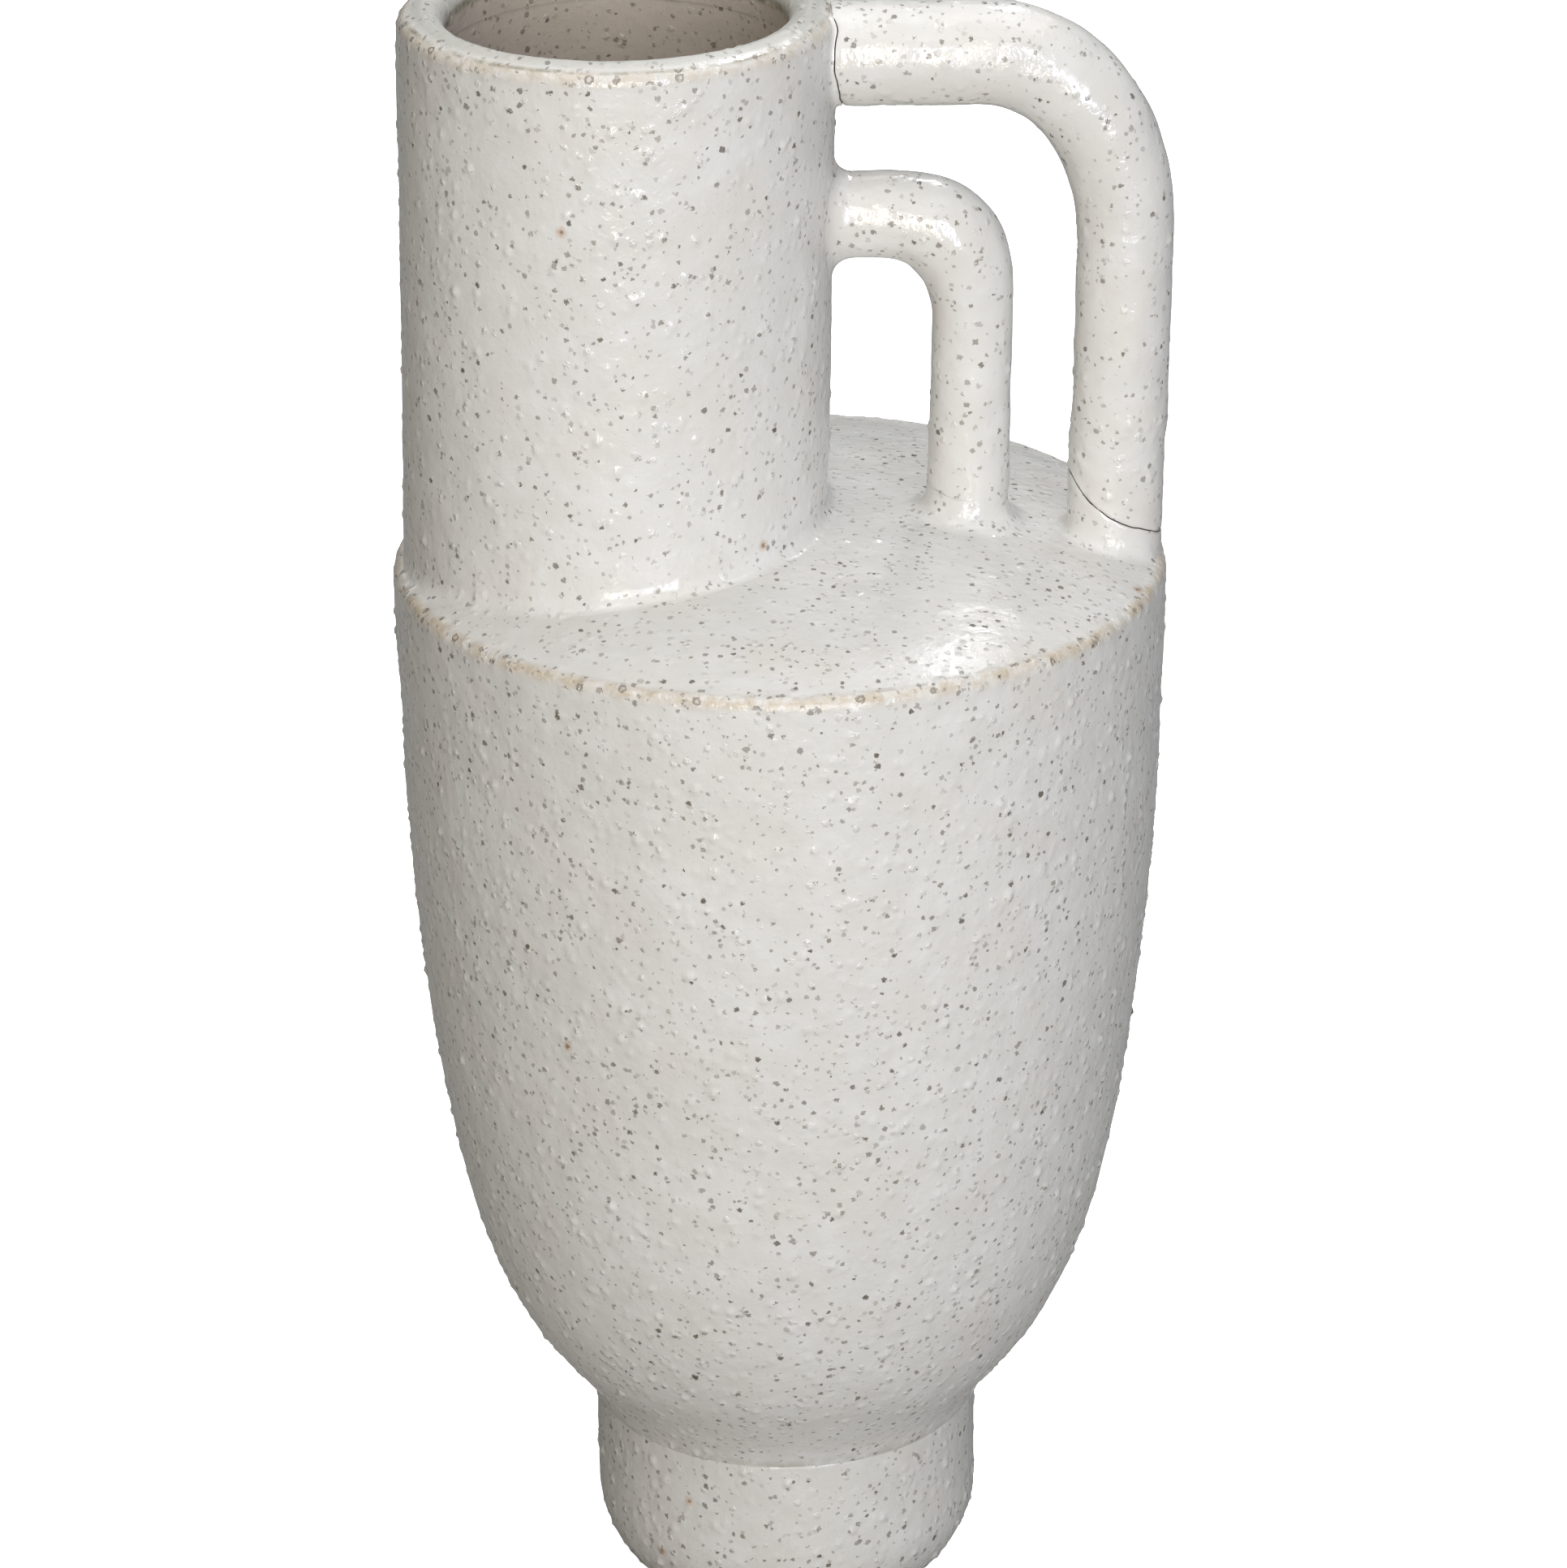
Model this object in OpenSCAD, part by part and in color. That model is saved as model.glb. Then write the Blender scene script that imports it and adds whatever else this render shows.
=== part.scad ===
// Handled stoneware vase: foot, body, shoulder disc, offset neck and two nested loop handles.
// Millimetres, +Z up. Origin at the centre of the foot, on the plane it stands on.
// The neck axis, the body axis and both handles lie in the plane y = 0.

/* [Foot] */
// outer radius of the foot
foot_r = 47.5; // [45:0.5:50]
// height of the crease between foot and body
foot_h = 50; // [44:1:56]
// radius of the rounded lower edge of the foot
foot_round = 18; // [12:1:20]
// thickness of the floor disc
floor_t = 8; // [6:0.5:11]
// height of the floor disc above the table
floor_lift = 1.5; // [1:0.5:3]
// outer radius of the floor disc
floor_r = 24; // [20:1:26]

/* [Body] */
// largest radius, at the shoulder edge
body_r = 91; // [88:1:95]
// height of the shoulder edge above the table
shoulder_z = 270; // [262:1:278]
// thickness of the body wall
wall = 8.5; // [7:0.5:9.5]
// how far the upright upper part of the wall reaches down
belly_reach = 194; // [180:2:200]
// how far the lower wall follows the slope at the foot
waist_reach = 24.5; // [18:0.5:30]
// slope of the lower wall at the foot, degrees from level
waist_slope = 69; // [60:1:80]

/* [Shoulder] */
// thickness of the shoulder disc
disc_t = 8; // [7:0.5:9]
// rise of the shoulder from its edge to its centre
dome_rise = 12.5; // [10:0.5:14]
// radius of the rounded shoulder edge
edge_round = 2.4; // [1.6:0.2:3]

/* [Neck] */
// outer radius of the neck
neck_r = 50; // [48:0.5:51]
// radius of the bore through the neck
bore_r = 39.5; // [38:0.5:41]
// distance of the neck axis from the body axis, towards -X
neck_shift = 37.5; // [36:0.5:38.5]
// height of the mouth above the table
mouth_z = 405.5; // [401:0.5:409]
// height of the lip coil
lip_h = 11; // [10:0.5:13]
// radius of the outer corner of the lip
lip_outer = 3.2; // [2.4:0.2:4]
// radius of the inner corner of the lip
lip_inner = 4.4; // [3.4:0.2:5]
// size of the glaze filled coil around the neck base
neck_fillet = 3.6; // [2.6:0.2:4.6]

/* [Outer handle] */
// radius of the outer handle rod
outer_rod = 11.2; // [10:0.2:12]
// height of the level run of the outer handle
outer_run_z = 392.2; // [389:0.2:394]
// distance of the outer leg from the body axis
outer_leg_x = 79.6; // [78:0.2:79.8]
// bend radius of the outer handle, at the rod centre
outer_bend = 35; // [30:1:38]
// mean height of the seam between outer leg and its stub, above the shoulder edge
stub_h = 15; // [13:0.5:18]
// slant of that seam, degrees
stub_slant = 34; // [20:1:38]

/* [Inner handle] */
// radius of the inner handle rod
inner_rod = 9.5; // [8.6:0.1:10]
// height of the level run of the inner handle
inner_run_z = 355; // [350:0.5:358]
// distance of the inner leg from the body axis
inner_leg_x = 45; // [43.6:0.2:46.2]
// bend radius of the inner handle, at the rod centre
inner_bend = 18; // [15:0.5:20]

/* [Joint coils] */
// fillet size where the outer handle meets the neck
outer_joint = 4.5; // [3:0.5:5.5]
// fillet size of the stub under the outer handle
stub_joint = 4.5; // [3:0.5:6]
// fillet size where the inner handle meets neck and shoulder
inner_joint = 6; // [4:0.5:7]

/* [Hidden] */
$fn = 192;
glaze = [0.86, 0.85, 0.81];
clay = [0.62, 0.54, 0.44];
foot_in = foot_r - wall;
wall_top = shoulder_z - disc_t;
body_in = body_r - wall;
edge_drop = 1;
dome_edge = shoulder_z + edge_drop;
dome_ball = (body_r * body_r + dome_rise * dome_rise) / (2 * dome_rise);
dome_mid = dome_edge + dome_rise - dome_ball;
lip_z = mouth_z - lip_h;
steps = 36;

// height of the shoulder surface at distance d from the body axis
function dome_z(d) = dome_mid + sqrt(dome_ball * dome_ball - d * d);
// slope of the shoulder surface there, degrees
function dome_slope(d) = asin(d / dome_ball);
// points of an arc in the section plane
function arc(cx, cy, r, a, b, n = 12) =
  [for (i = [0:n]) let (t = a + (b - a) * i / n) [cx + r * cos(t), cy + r * sin(t)]];
// outer curve of the body wall: a cubic from foot crease to wall top
wall_a = [foot_r, foot_h];
wall_b = wall_a + waist_reach * [cos(waist_slope), sin(waist_slope)];
wall_c = [body_r, wall_top - belly_reach];
wall_d = [body_r, wall_top];
function cubic(t) = pow(1 - t, 3) * wall_a + 3 * t * pow(1 - t, 2) * wall_b
  + 3 * t * t * (1 - t) * wall_c + pow(t, 3) * wall_d;
function along(t) = 3 * pow(1 - t, 2) * (wall_b - wall_a)
  + 6 * t * (1 - t) * (wall_c - wall_b) + 3 * t * t * (wall_d - wall_c);
function inward(t) = let (v = along(t)) [-v[1], v[0]] / norm(v);

// solid bounded above by the shoulder surface, lowered by `drop`, out to radius `reach`
module under_dome(drop = 0, reach = 100) {
  rotate_extrude()
    polygon(concat(
      [[0, wall_top - 40], [reach, wall_top - 40]],
      [for (i = [20:-1:0]) let (t = asin(reach / (dome_ball - drop)) * i / 20)
        [(dome_ball - drop) * sin(t), dome_mid + (dome_ball - drop) * cos(t)]]));
}

// section of the lip with both corners rounded
module lip_section(inner) {
  polygon(concat(
    [[inner, lip_z], [neck_r, lip_z]],
    arc(neck_r - lip_outer, mouth_z - 0.7 - lip_outer, lip_outer, 0, 80),
    [[(neck_r + bore_r) / 2 + 0.6, mouth_z]],
    inner < bore_r ? [[inner, mouth_z]]
      : arc(bore_r + lip_inner, mouth_z - 0.7 - lip_inner, lip_inner, 100, 180)));
}

// neck and lip without the bore, used to cut what butts against them
module neck_solid() {
  translate([-neck_shift, 0, 0]) {
    translate([0, 0, wall_top])
      cylinder(r = neck_r, h = lip_z - wall_top);
    rotate_extrude()
      lip_section(0);
  }
}

// ring with a concave outer flank of size f around a rod of radius r, its skirt below z = 0
module fillet_ring(r, f, skirt) {
  rotate_extrude()
    polygon(concat(
      [[r - 4, -skirt], [r + f, -skirt]],
      arc(r + f, f, f, 270, 180),
      [[r - 4, f]]));
}

// bent rod: level run from x0, quarter bend, then an upright leg down to z0
module rod(r, x0, run_z, leg_x, bend, z0) {
  translate([x0, 0, run_z])
    rotate([0, 90, 0])
      cylinder(r = r, h = leg_x - bend - x0);
  translate([leg_x - bend, 0, run_z - bend])
    rotate([90, 0, 0])
      rotate_extrude(angle = 90)
        translate([bend, 0])
          circle(r = r);
  translate([leg_x, 0, z0])
    cylinder(r = r, h = run_z - bend - z0);
}

module outer_rod_full() {
  rod(outer_rod, 4, outer_run_z, outer_leg_x, outer_bend, shoulder_z - 12);
}

module inner_rod_full() {
  rod(inner_rod, 4, inner_run_z, inner_leg_x, inner_bend, shoulder_z - 6);
}

// everything below the slanted seam of the outer leg
module below_seam() {
  translate([outer_leg_x, 0, shoulder_z + stub_h])
    rotate([0, stub_slant, 0])
      translate([-60, -40, -60])
        cube([120, 80, 60]);
}

module foot_ring() {
  color(glaze)
    rotate_extrude()
      polygon(concat(
        [[floor_r, 0]],
        arc(foot_r - foot_round, foot_round, foot_round, 270, 360, 14),
        [[foot_r, foot_h], [foot_in, foot_h]],
        arc(foot_in - 9, floor_lift + floor_t + 9, 9, 0, -90, 8),
        [[floor_r, floor_lift + floor_t]]));
}

module floor_disc() {
  color(clay)
    translate([0, 0, floor_lift])
      cylinder(r = floor_r, h = floor_t);
}

module body_wall() {
  color(glaze)
    rotate_extrude()
      polygon(concat(
        [for (i = [0:steps]) cubic(i / steps)],
        [for (i = [steps:-1:3]) cubic(i / steps) + wall * inward(i / steps)],
        [[foot_in, foot_h + 4], [foot_in, foot_h]]));
}

module shoulder_disc() {
  color(glaze)
    difference() {
      intersection() {
        rotate_extrude()
          polygon(concat(
            [[0, wall_top], [body_r, wall_top]],
            arc(body_r - edge_round, dome_edge + 0.2 - edge_round, edge_round, 0, 74, 6),
            [[0, dome_edge + 35]]));
        under_dome();
      }
      under_dome(disc_t, body_in);
      translate([-neck_shift, 0, wall_top - 1])
        cylinder(r = bore_r, h = 40);
    }
}

module neck_wall() {
  color(glaze)
    difference() {
      translate([-neck_shift, 0, wall_top])
        cylinder(r = neck_r, h = lip_z - wall_top);
      translate([-neck_shift, 0, wall_top - 1])
        cylinder(r = bore_r, h = lip_z - wall_top + 2);
      under_dome();
    }
}

module lip_coil() {
  color(glaze)
    translate([-neck_shift, 0, 0])
      rotate_extrude()
        lip_section(bore_r);
}

module neck_coil() {
  tilt = asin((dome_z(neck_shift - neck_r) - dome_z(neck_shift + neck_r)) / (2 * neck_r));
  color(glaze)
    difference() {
      intersection() {
        translate([-neck_shift, 0, (dome_z(neck_shift - neck_r) + dome_z(neck_shift + neck_r)) / 2])
          rotate([0, -tilt, 0])
            fillet_ring(neck_r + 0.1, neck_fillet, 6);
        translate([edge_round - body_r, -80, wall_top])
          cube([160, 160, 60]);
      }
      translate([-neck_shift, 0, wall_top - 10])
        cylinder(r = neck_r, h = 100);
      under_dome();
    }
}

module outer_handle() {
  color(glaze)
    difference() {
      outer_rod_full();
      neck_solid();
      below_seam();
    }
}

module inner_handle() {
  color(glaze)
    difference() {
      inner_rod_full();
      neck_solid();
      under_dome();
    }
}

module outer_neck_coil() {
  color(glaze)
    difference() {
      intersection() {
        translate([neck_r - neck_shift, 0, outer_run_z])
          rotate([0, 90, 0])
            fillet_ring(outer_rod, outer_joint, 5);
        translate([0, -40, lip_z - 40])
          cube([60, 80, 48]);
      }
      outer_rod_full();
      neck_solid();
    }
}

module outer_leg_stub() {
  color(glaze)
    difference() {
      union() {
        intersection() {
          translate([outer_leg_x, 0, shoulder_z - 4])
            cylinder(r = outer_rod, h = 50);
          below_seam();
        }
        intersection() {
          translate([outer_leg_x, 0, dome_z(outer_leg_x)])
            rotate([0, dome_slope(outer_leg_x), 0])
              fillet_ring(outer_rod, stub_joint, 6);
          translate([0, -40, wall_top])
            cube([body_r - 0.6, 80, 60]);
        }
      }
      under_dome();
    }
}

module inner_neck_coil() {
  color(glaze)
    difference() {
      translate([neck_r - neck_shift, 0, inner_run_z])
        rotate([0, 90, 0])
          fillet_ring(inner_rod, inner_joint, 5);
      inner_rod_full();
      neck_solid();
    }
}

module inner_leg_coil() {
  color(glaze)
    difference() {
      translate([inner_leg_x, 0, dome_z(inner_leg_x)])
        rotate([0, dome_slope(inner_leg_x), 0])
          fillet_ring(inner_rod, inner_joint, 6);
      inner_rod_full();
      under_dome();
    }
}

foot_ring();
floor_disc();
body_wall();
shoulder_disc();
neck_wall();
lip_coil();
neck_coil();
outer_handle();
inner_handle();
outer_neck_coil();
outer_leg_stub();
inner_neck_coil();
inner_leg_coil();
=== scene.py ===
"""Looks of a handled stoneware vase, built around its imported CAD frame.

Lengths in the shape code are millimetres, and angles are degrees where they are bare numbers.
"""
import math

import bpy
import numpy as np
from mathutils import Matrix, Vector
from mathutils.kdtree import KDTree


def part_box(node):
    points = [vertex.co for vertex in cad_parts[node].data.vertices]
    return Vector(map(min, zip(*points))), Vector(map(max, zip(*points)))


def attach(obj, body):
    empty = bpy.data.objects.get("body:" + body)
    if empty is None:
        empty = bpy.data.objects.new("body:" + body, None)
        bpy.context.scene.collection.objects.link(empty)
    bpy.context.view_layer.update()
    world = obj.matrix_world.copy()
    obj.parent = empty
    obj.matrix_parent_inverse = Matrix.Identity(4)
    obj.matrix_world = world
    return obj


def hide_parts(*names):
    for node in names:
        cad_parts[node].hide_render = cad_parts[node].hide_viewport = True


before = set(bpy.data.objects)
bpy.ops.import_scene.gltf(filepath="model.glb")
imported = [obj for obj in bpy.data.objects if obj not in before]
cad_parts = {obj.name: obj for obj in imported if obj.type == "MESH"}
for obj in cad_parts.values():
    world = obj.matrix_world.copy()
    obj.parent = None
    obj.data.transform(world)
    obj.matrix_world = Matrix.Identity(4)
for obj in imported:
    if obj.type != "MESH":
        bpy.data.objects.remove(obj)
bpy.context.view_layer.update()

MM = 0.001
SEED = 41
rng = np.random.default_rng(SEED)


def mm_box(node):
    """Lowest and highest corner of a CAD node, in millimetres."""
    lo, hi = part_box(node)
    return np.array(lo) / MM, np.array(hi) / MM


# ---------------------------------------------------------------- sizes read from the frame
_, foot_hi = mm_box("foot_ring")
_, body_hi = mm_box("body_wall")
neck_lo, neck_hi = mm_box("neck_wall")
lip_lo, lip_hi = mm_box("lip_coil")
_, outer_hi = mm_box("outer_handle")
_, inner_hi = mm_box("inner_handle")
floor_lo, floor_hi = mm_box("floor_disc")

FOOT_R, FOOT_H = foot_hi[1], foot_hi[2]
BODY_R, WALL_TOP = body_hi[1], body_hi[2]
WALL = 8.5  # thickness of the thrown wall
BORE_R = 39.5  # bore through the neck
NECK_X, NECK_R = (neck_lo[0] + neck_hi[0]) / 2, neck_hi[1]
LIP_Z, MOUTH_Z = lip_lo[2], lip_hi[2]
FLOOR_R = floor_hi[1]
OUT_ROD, IN_ROD = outer_hi[1], inner_hi[1]
OUT_RUN, IN_RUN = outer_hi[2] - OUT_ROD, inner_hi[2] - IN_ROD
OUT_LEG, IN_LEG = outer_hi[0] - OUT_ROD, inner_hi[0] - IN_ROD
DISC_T = 8.0  # thickness of the shoulder disc
EDGE_Z = 271.0  # height of the shoulder's edge
DOME_RISE = 12.5  # rise of the shoulder from its edge to its middle
BALL = (BODY_R**2 + DOME_RISE**2) / (2 * DOME_RISE)  # radius of the ball that the shoulder is part of
BALL_Z = EDGE_Z + DOME_RISE - BALL
TILT = 0.9  # how much higher the shoulder sits at its back


def back_rise(y):
    """How far the tilted shoulder rises towards its back."""
    return TILT * smooth(15, 85, y)


def dome(x, y, drop=0.0):
    """Height of the shoulder surface over a point, or of the level underside at the given depth."""
    r2 = np.minimum(x * x + y * y, 99.0**2)
    return BALL_Z + np.sqrt((BALL - drop) ** 2 - r2) + (0.0 if drop else back_rise(y))


def smooth(a, b, x):
    """Rises from 0 at a to 1 at b without a kink; b may be the lower one."""
    t = np.clip((x - a) / (b - a), 0, 1)
    return t * t * (3 - 2 * t)


# ---------------------------------------------------------------- hand made unevenness
def noise(p, cell, seed):
    """Smooth noise from -1 to 1 at points p, with lattice size cell."""
    q = p / cell + seed * 11.73
    i = np.floor(q).astype(np.int64)
    f = q - i
    w = f * f * (3 - 2 * f)
    total = np.zeros(q.shape[:-1])
    for dx in (0, 1):
        wx = w[..., 0] if dx else 1 - w[..., 0]
        for dy in (0, 1):
            wy = w[..., 1] if dy else 1 - w[..., 1]
            for dz in (0, 1):
                wz = w[..., 2] if dz else 1 - w[..., 2]
                n = (
                    (i[..., 0] + dx) * 73856093
                    ^ (i[..., 1] + dy) * 19349663
                    ^ (i[..., 2] + dz) * 83492791
                    ^ (seed * 40503)
                )
                n = (n ^ (n >> 13)) * 1274126177
                n = n ^ (n >> 16)
                total += wx * wy * wz * ((n >> 4 & 0xFFFF) / 32767.5 - 1)
    return total


def swell(p, coarse):
    """Outward offset of the wall: slow swells of the thrown clay, and grit where it is coarse."""
    low = 0.34 * noise(p, 38, 1) + 0.15 * noise(p, 16, 2)
    grit = 0.075 * noise(p, 5.5, 3) + 0.06 * noise(p, 2.4, 4)
    return low + coarse * grit + 0.1 * noise(p, 8.5, 5)


PIMPLE_R, PIMPLE_R_SPREAD = 1.05, 0.35
PIMPLE_LOW, PIMPLE_MEAN, PIMPLE_TALLEST = 0.16, 0.13, 0.7
pimples = []  # x, y, z, radius, height


def seed_pimples(P, per_mm2, scale, keep):
    """Adds grog pimples on a grid of points P, spread evenly over the area that keep marks."""
    a = np.linalg.norm(
        np.cross(P[1:, :] - P[:-1, :], np.roll(P, -1, 1)[:-1] - P[:-1, :]), axis=-1
    )
    a = a * keep[:-1]
    total = a.sum()
    count = int(total * per_mm2)
    at = rng.choice(a.size, size=count, p=(a / total).ravel())
    rows, cols = np.unravel_index(at, a.shape)
    t = rng.random((count, 1))
    c = P[rows, cols] * (1 - t) + P[rows + 1, (cols + 1) % P.shape[1]] * t
    h = np.minimum(PIMPLE_LOW + rng.exponential(PIMPLE_MEAN, count), PIMPLE_TALLEST) * scale
    r = PIMPLE_R + PIMPLE_R_SPREAD * rng.random(count) + h * 0.4
    pimples.extend(np.column_stack([c, r, h]).tolist())


def raise_pimples(P, N, weight):
    """Moves the points near each pimple out along their normals."""
    flat, out = P.reshape(-1, 3), np.zeros(P.shape[0] * P.shape[1])
    w = weight.reshape(-1)
    live = np.nonzero(w > 0.02)[0]
    tree = KDTree(len(live))
    for k in live:
        tree.insert(flat[k], k)
    tree.balance()
    lo, hi = flat[live].min(0) - 3, flat[live].max(0) + 3
    for x, y, z, r, h in pimples:
        if lo[0] < x < hi[0] and lo[1] < y < hi[1] and lo[2] < z < hi[2]:
            for _, k, d in tree.find_range((x, y, z), r):
                out[k] = max(out[k], h * (1 - (d / r) ** 2) ** 2)
    return P + N * (out * w).reshape(P.shape[:2])[..., None]


# ---------------------------------------------------------------- mesh building
def grid_normals(P):
    """Unit normals of a grid whose rows close on themselves."""
    du = np.roll(P, -1, 1) - np.roll(P, 1, 1)
    dv = np.roll(P, -1, 0) - np.roll(P, 1, 0)
    dv[0], dv[-1] = P[1] - P[0], P[-1] - P[-2]
    n = np.cross(du, dv)
    return n / np.maximum(np.linalg.norm(n, axis=-1, keepdims=True), 1e-9)


SHARP_ANGLE = math.radians(48)


def make_mesh(name, P, materials, loop_v=True, face_mat=None, paint=None, cap_mat=0):
    """A closed mesh from rows of points: a ring of rings, or a tube with capped ends."""
    nv, nu = P.shape[:2]
    verts = P.reshape(-1, 3)
    index = np.arange(nv * nu).reshape(nv, nu)
    rows = index if loop_v else index[:-1]
    nxt = np.roll(index, -1, 0) if loop_v else index[1:]
    quads = np.stack(
        [rows, np.roll(rows, -1, 1), np.roll(nxt, -1, 1), nxt], -1
    ).reshape(-1, 4)
    v0, v1, v2, v3 = (verts[quads[:, k]] for k in range(4))
    volume = (np.cross(v0, v1) * v2).sum() + (np.cross(v0, v2) * v3).sum()
    tris = np.zeros((0, 3), int)
    if not loop_v:
        a, b = nv * nu, nv * nu + 1
        verts = np.vstack([verts, P[0].mean(0), P[-1].mean(0)])
        first, last = index[0], index[-1]
        tris = np.vstack(
            [
                np.column_stack([np.full(nu, a), np.roll(first, -1), first]),
                np.column_stack([np.full(nu, b), last, np.roll(last, -1)]),
            ]
        )
    if volume < 0:
        quads, tris = quads[:, ::-1], tris[:, ::-1]
    mesh = bpy.data.meshes.new(name)
    nq, nt = len(quads), len(tris)
    mesh.vertices.add(len(verts))
    mesh.vertices.foreach_set("co", (verts * MM).astype(np.float32).ravel())
    mesh.loops.add(nq * 4 + nt * 3)
    mesh.loops.foreach_set(
        "vertex_index", np.concatenate([quads.ravel(), tris.ravel()]).astype(np.int32)
    )
    mesh.polygons.add(nq + nt)
    starts = np.concatenate([np.arange(nq) * 4, nq * 4 + np.arange(nt) * 3])
    mesh.polygons.foreach_set("loop_start", starts.astype(np.int32))
    slots = np.zeros(nq + nt, np.int32)
    if face_mat is not None:
        slots[:nq] = np.repeat(face_mat[: nv if loop_v else nv - 1], nu)
    slots[nq:] = cap_mat
    mesh.polygons.foreach_set("material_index", slots)
    mesh.update(calc_edges=True)
    mesh.validate()
    mesh.shade_smooth()
    mesh.set_sharp_from_angle(angle=SHARP_ANGLE)
    for key, values in (paint or {}).items():
        layer = mesh.attributes.new(key, "FLOAT", "POINT")
        full = np.concatenate([values.reshape(-1), np.zeros(len(verts) - nv * nu)])
        layer.data.foreach_set("value", full.astype(np.float32))
    for m in materials:
        mesh.materials.append(m)
    o = bpy.data.objects.new(name, mesh)
    bpy.context.scene.collection.objects.link(o)
    return o


def spaced(points, step):
    """The polyline resampled at about the given step."""
    points = np.array(points, float)
    d = np.concatenate([[0], np.cumsum(np.linalg.norm(np.diff(points, axis=0), axis=1))])
    n = max(1, int(round(d[-1] / step)))
    t = np.linspace(0, d[-1], n + 1)
    return np.column_stack([np.interp(t, d, points[:, k]) for k in range(points.shape[1])])


def arc(cx, cy, r, a, b, n=10, ry=None):
    """Points of an arc from a to b, or of an ellipse of height radius ry."""
    t = np.radians(np.linspace(a, b, n + 1))
    return np.column_stack([cx + r * np.cos(t), cy + (ry or r) * np.sin(t)])


def revolve(profile, nu, cx=0.0):
    """The profile of radii and heights turned round an upright axis, in nu steps."""
    th = np.linspace(0, 2 * math.pi, nu, endpoint=False)
    r, z = profile[:, 0][:, None], profile[:, 1][:, None]
    return np.stack([cx + r * np.cos(th), r * np.sin(th), z + 0 * th], -1)


# ---------------------------------------------------------------- materials
class Nodes:
    """Short calls for building a node tree. The looks below call theirs k."""

    def __init__(self, name):
        self.m = bpy.data.materials.new(name)
        self.m.use_nodes = True
        self.t = self.m.node_tree
        self.t.nodes.clear()
        self.out = self.t.nodes.new("ShaderNodeOutputMaterial")
        self.bsdf = self.t.nodes.new("ShaderNodeBsdfPrincipled")
        self.t.links.new(self.bsdf.outputs[0], self.out.inputs[0])
        self.coord = self.t.nodes.new("ShaderNodeTexCoord").outputs["Object"]

    def put(self, kind, inputs=None, **props):
        n = self.t.nodes.new(kind)
        for k, v in props.items():
            setattr(n, k, v)
        for k, v in (inputs or {}).items():
            self.feed(n.inputs[k], v)
        return n

    def feed(self, socket, value):
        if isinstance(value, bpy.types.NodeSocket):
            self.t.links.new(value, socket)
        else:
            socket.default_value = value

    def math(self, op, a, b=0.0, clamp=False):
        n = self.put("ShaderNodeMath", {0: a, 1: b}, operation=op)
        n.use_clamp = clamp
        return n.outputs[0]

    def plus(self, a, b):
        return self.math("ADD", a, b)

    def minus(self, a, b):
        return self.math("SUBTRACT", a, b)

    def times(self, a, b, clamp=False):
        return self.math("MULTIPLY", a, b, clamp)

    def above(self, a, b):
        return self.math("GREATER_THAN", a, b)

    def ramp(self, value, a, b, c=0.0, d=1.0):
        return self.put(
            "ShaderNodeMapRange",
            {"Value": value, "From Min": a, "From Max": b, "To Min": c, "To Max": d},
            interpolation_type="SMOOTHSTEP",
        ).outputs[0]

    def mix(self, t, a, b):
        n = self.put("ShaderNodeMix", {"Factor": t}, data_type="RGBA")
        self.feed(n.inputs[6], a)
        self.feed(n.inputs[7], b)
        return n.outputs[2]

    def noise(self, at, scale, detail=2.0, rough=0.5):
        return self.put(
            "ShaderNodeTexNoise",
            {"Vector": at, "Scale": scale, "Detail": detail, "Roughness": rough},
        )

    def fog(self, scale, detail=2.0, rough=0.5):
        """Grey noise over the object's own coordinates."""
        return self.noise(self.coord, scale, detail, rough).outputs["Fac"]

    def attr(self, key):
        return self.put("ShaderNodeAttribute", attribute_name=key).outputs["Fac"]

    def cells(self, at, scale):
        """Distance to the nearest cell's middle, and three random numbers of that cell."""
        n = self.put("ShaderNodeTexVoronoi", {"Vector": at, "Scale": scale})
        chances = self.put("ShaderNodeSeparateColor", {0: n.outputs["Color"]}).outputs
        return n.outputs["Distance"], chances[0], chances[1], chances[2]


def rgb(r, g, b):
    return (r, g, b, 1.0)


DULL_WHITE, OFF_WHITE = rgb(0.625, 0.61, 0.578), rgb(0.655, 0.642, 0.615)
CREAM, MILKY = rgb(0.70, 0.69, 0.665), rgb(0.71, 0.705, 0.69)
BLUSH, TAN = rgb(0.64, 0.595, 0.55), rgb(0.49, 0.40, 0.285)
THICK_GREY_AND_SHADE, THIN_BROWN_AND_SHADE = rgb(0.41, 0.402, 0.36), rgb(0.475, 0.415, 0.353)
LINE_BROWN_AND_SHADE, PIT_BROWN = rgb(0.17, 0.15, 0.085), rgb(0.22, 0.18, 0.14)
IRON_DARK, IRON_PALE = rgb(0.105, 0.088, 0.07), rgb(0.19, 0.16, 0.115)
RUST, RUST_CORE = rgb(0.47, 0.27, 0.12), rgb(0.13, 0.085, 0.05)
GROG_PALE = rgb(0.75, 0.68, 0.58)


def cloudy(k):
    """The glaze body: slow cloudy changes of tone, milky where it lies thick."""
    cloud = k.fog(17, 4.0, 0.55)
    base = k.mix(k.ramp(cloud, 0.32, 0.68), DULL_WHITE, OFF_WHITE)
    base = k.mix(k.ramp(k.fog(260, 4.0, 0.7), 0.2, 0.8, 0.0, 0.12), base, CREAM)
    base = k.mix(k.ramp(k.fog(105), 0.42, 0.72, 0.0, 0.45), base, MILKY)
    return k.mix(k.ramp(k.fog(48), 0.48, 0.72, 0.0, 0.4), base, BLUSH)


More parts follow.
